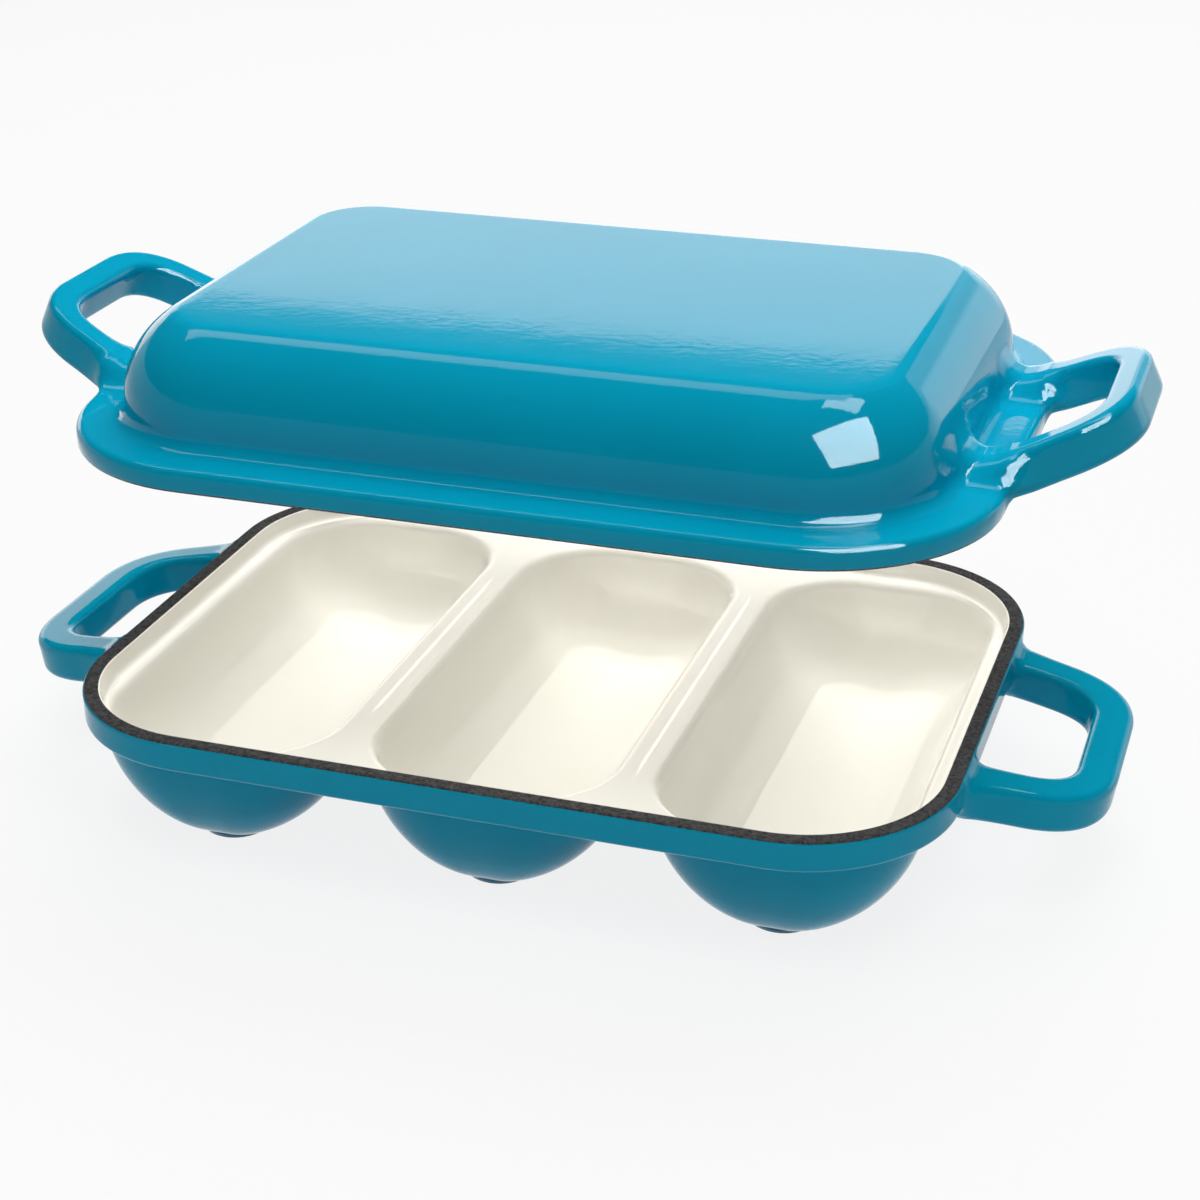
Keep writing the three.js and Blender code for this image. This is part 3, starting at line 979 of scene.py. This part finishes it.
def light_only(lamp, names):
    """Lets a lamp light only some pieces."""
    receivers = bpy.data.collections.new(lamp.name + "_receivers")
    for name in names:
        receivers.objects.link(bpy.data.objects[name])
    lamp.light_linking.receiver_collection = receivers


def background_rays(tree):
    """1 for rays that show the background: the camera's, those of gloss and those through glass."""
    ray = add_node(tree, "ShaderNodeLightPath").outputs
    shown = ray["Is Camera Ray"]
    for kind in ("Is Glossy Ray", "Is Transmission Ray"):
        either = add_node(tree, "ShaderNodeMath", {0: shown, 1: ray[kind]}, operation="MAXIMUM")
        shown = either.outputs["Value"]
    return shown


class PAN_OT_stage(bpy.types.Operator):
    """Builds the pale floor, the soft studio light and the camera"""

    bl_idname = "pan.stage"
    bl_label = "Studio"

    def execute(self, context):
        scene = context.scene
        self.add_floor(scene.pan_colours.floor)
        self.add_world(scene)
        self.add_lamps(scene.pan_colours)
        self.add_camera(scene, scene.pan_stage)
        scene.view_settings.view_transform = "Standard"
        return {"FINISHED"}

    def add_floor(self, colour):
        """A wide floor of matt white paper, an even ground without gloss: it keeps the pan's shadow, and as a
        background it is lifted towards white."""
        far = FLOOR_HALF
        corners = [(-far, -far, 0), (far, -far, 0), (far, far, 0), (-far, far, 0)]
        mesh = mesh_of(FLOOR, corners, [(0, 1, 2, 3)])
        floor = bpy.data.objects.new(FLOOR, mesh)
        bpy.context.scene.collection.objects.link(floor)
        material, tree = new_material("matt_white_paper")
        paper = add_node(tree, "ShaderNodeBsdfDiffuse", Color=linear(colour)).outputs["BSDF"]
        white = add_node(tree, "ShaderNodeEmission", Color=WHITE, Strength=1.0).outputs["Emission"]
        lifted = add_node(tree, "ShaderNodeMixShader", {1: paper, 2: white}, Fac=FLOOR_LIFT).outputs["Shader"]
        seen = add_node(tree, "ShaderNodeMixShader", {0: background_rays(tree), 1: paper, 2: lifted})
        add_node(tree, "ShaderNodeOutputMaterial", {"Surface": seen.outputs["Shader"]})
        mesh.materials.append(material)

    def add_world(self, scene):
        """A dim even room with a pale backdrop low down all round, which only background rays see."""
        world = bpy.data.worlds.new("studio")
        world.use_nodes = True
        tree = world.node_tree
        tree.nodes.clear()
        where = add_node(tree, "ShaderNodeTexCoord").outputs["Generated"]
        height = add_node(tree, "ShaderNodeSeparateXYZ", {"Vector": where}).outputs["Z"]
        low, high = (math.sin(math.radians(end)) for end in BACKDROP_ENDS)
        backdrop = add_node(
            tree,
            "ShaderNodeMapRange",
            {"Value": height},
            From_Min=low,
            From_Max=high,
            To_Min=BACKDROP_LEVEL,
            To_Max=ROOM_LEVEL,
        )
        links = {"Value": background_rays(tree), "To Max": backdrop.outputs["Result"]}
        level = add_node(tree, "ShaderNodeMapRange", links, To_Min=ROOM_LEVEL).outputs["Result"]
        sky = add_node(tree, "ShaderNodeBackground", {"Strength": level}, Color=WHITE)
        add_node(tree, "ShaderNodeOutputWorld", {"Surface": sky.outputs["Background"]})
        scene.world = world

    def add_lamps(self, colours):
        """Soft lamps from above, with one more for the lid and one for the base's lining; fills without
        shadow from above and, for the base's coat, from below; and panels that only the gloss shows: two
        behind, two overhead and a window at the front right. Each row holds a lamp's name, place, aim,
        width, height, radiance, colour and the pieces that it lights."""
        plain, warm = colours.lamp, colours.sweep
        glossy = [BASE_COAT, LID_COAT, BASE_LINING]
        others = [FLOOR, BASE_COAT, BASE_IRON, LID_COAT, LID_LINING, LID_IRON]
        lamps = (
            ("overhead", (0, 1.4, 2.25), (0, 0, 0.1), 2.6, 1.5, 2.6, plain, others),
            ("front", (0.3, -0.9, 2.1), (0, 0, 0.1), 1.4, 1.2, 2.7, plain, others),
            ("lid_key", (0, 1.9, 1.7), (0, 0, 0.2), 2.6, 1.2, 1.5, plain, [LID_COAT]),
            ("lining_key", (0, 1.4, 2.25), (0, 0, 0.1), 2.6, 1.5, 1.1, plain, [BASE_LINING]),
        )
        fills = (
            ("fill", (0, 0, 3.0), (0, 0, 0), 3.0, 3.0, 0.6, plain, others),
            ("lining_fill", (0, 0, 3.0), (0, 0, 0), 3.0, 3.0, 3.35, plain, [BASE_LINING]),
            ("table_bounce", (0, -0.4, -0.9), (0, 0, 0.03), 1.6, 0.8, 0.6, plain, [BASE_COAT]),
        )
        panels = (
            ("sweep", (-2.0, 2.4, 0.53), (-2.0, 0, 0.53), 4.0, 1.1, 1.55, warm, glossy),
            ("side_sweep", (1.5, 2.4, 0.53), (1.5, 0, 0.53), 3.0, 1.1, 0.62, plain, glossy),
            ("strip", (-0.7, 0.5, 2.2), (-0.7, 0.5, 0), 2.2, 0.5, 5.0, plain, [BASE_COAT, LID_COAT]),
            ("skylight", (0.41, 0.26, 2.2), (0.41, 0.26, 0), 0.85, 0.5, 18.5, plain, glossy),
            ("window", (1.67, -1.47, 2.62), (0.21, -0.01, 0.18), 2.5, 2.8, 42.0, plain, [LID_COAT]),
        )
        for rows in (lamps, fills, panels):
            for *setting, pieces in rows:
                softbox = add_softbox(*setting)
                light_only(softbox, pieces)
                softbox.visible_glossy = rows is panels
                softbox.visible_diffuse = rows is not panels
                softbox.data.use_shadow = rows is not fills

    def add_camera(self, scene, stage):
        """The camera at the photograph's place."""
        data = bpy.data.cameras.new("camera")
        data.sensor_width = SENSOR
        data.lens = SENSOR / 2 / math.tan(stage.view / 2)
        camera = bpy.data.objects.new("camera", data)
        scene.collection.objects.link(camera)
        turn, lift = stage.azimuth, stage.elevation
        back = np.array((math.sin(turn) * math.cos(lift), -math.cos(turn) * math.cos(lift), math.sin(lift)))
        level = np.array((math.cos(turn), math.sin(turn), 0))
        upright = np.cross(back, level)
        right = level * math.cos(stage.roll) + upright * math.sin(stage.roll)
        up = upright * math.cos(stage.roll) - level * math.sin(stage.roll)
        place = np.array(stage.target) + back * stage.distance
        facing = Matrix(np.column_stack((right, up, back)).tolist()).to_4x4()
        camera.matrix_world = Matrix.Translation(place) @ facing
        scene.camera = camera


class PAN_PT_panel(bpy.types.Panel):
    """Lists the pan's pieces and the studio"""

    bl_idname = "PAN_PT_panel"
    bl_label = "Covered Baguette Pan"
    bl_space_type = "VIEW_3D"
    bl_region_type = "UI"
    bl_category = "Pan"

    def draw(self, context):
        for operator in OPERATORS:
            self.layout.operator(operator.bl_idname)


GROUPS = {
    "pan_base": PanBaseSizes,
    "pan_lid": PanLidSizes,
    "pan_base_handle": PanBaseHandleSizes,
    "pan_lid_handle": PanLidHandleSizes,
    "pan_colours": PanColours,
    "pan_stage": PanStage,
}
OPERATORS = (
    PAN_OT_base_outer_enamel,
    PAN_OT_base_inner_enamel,
    PAN_OT_base_iron,
    PAN_OT_lid_outer_enamel,
    PAN_OT_lid_inner_enamel,
    PAN_OT_lid_iron,
    PAN_OT_stage,
)
CLASSES = (*GROUPS.values(), *OPERATORS, PAN_PT_panel)


def register():
    """Registers the classes and hangs the settings on the scene."""
    for cls in CLASSES:
        bpy.utils.register_class(cls)
    for name, group in GROUPS.items():
        setattr(bpy.types.Scene, name, PointerProperty(type=group))


def unregister():
    """Takes the settings and the classes away."""
    for name in GROUPS:
        delattr(bpy.types.Scene, name)
    for cls in reversed(CLASSES):
        bpy.utils.unregister_class(cls)


def main():
    """Builds every piece and the studio."""
    register()
    for operator in OPERATORS:
        group, name = operator.bl_idname.split(".")
        getattr(getattr(bpy.ops, group), name)()


if __name__ == "__main__":
    main()
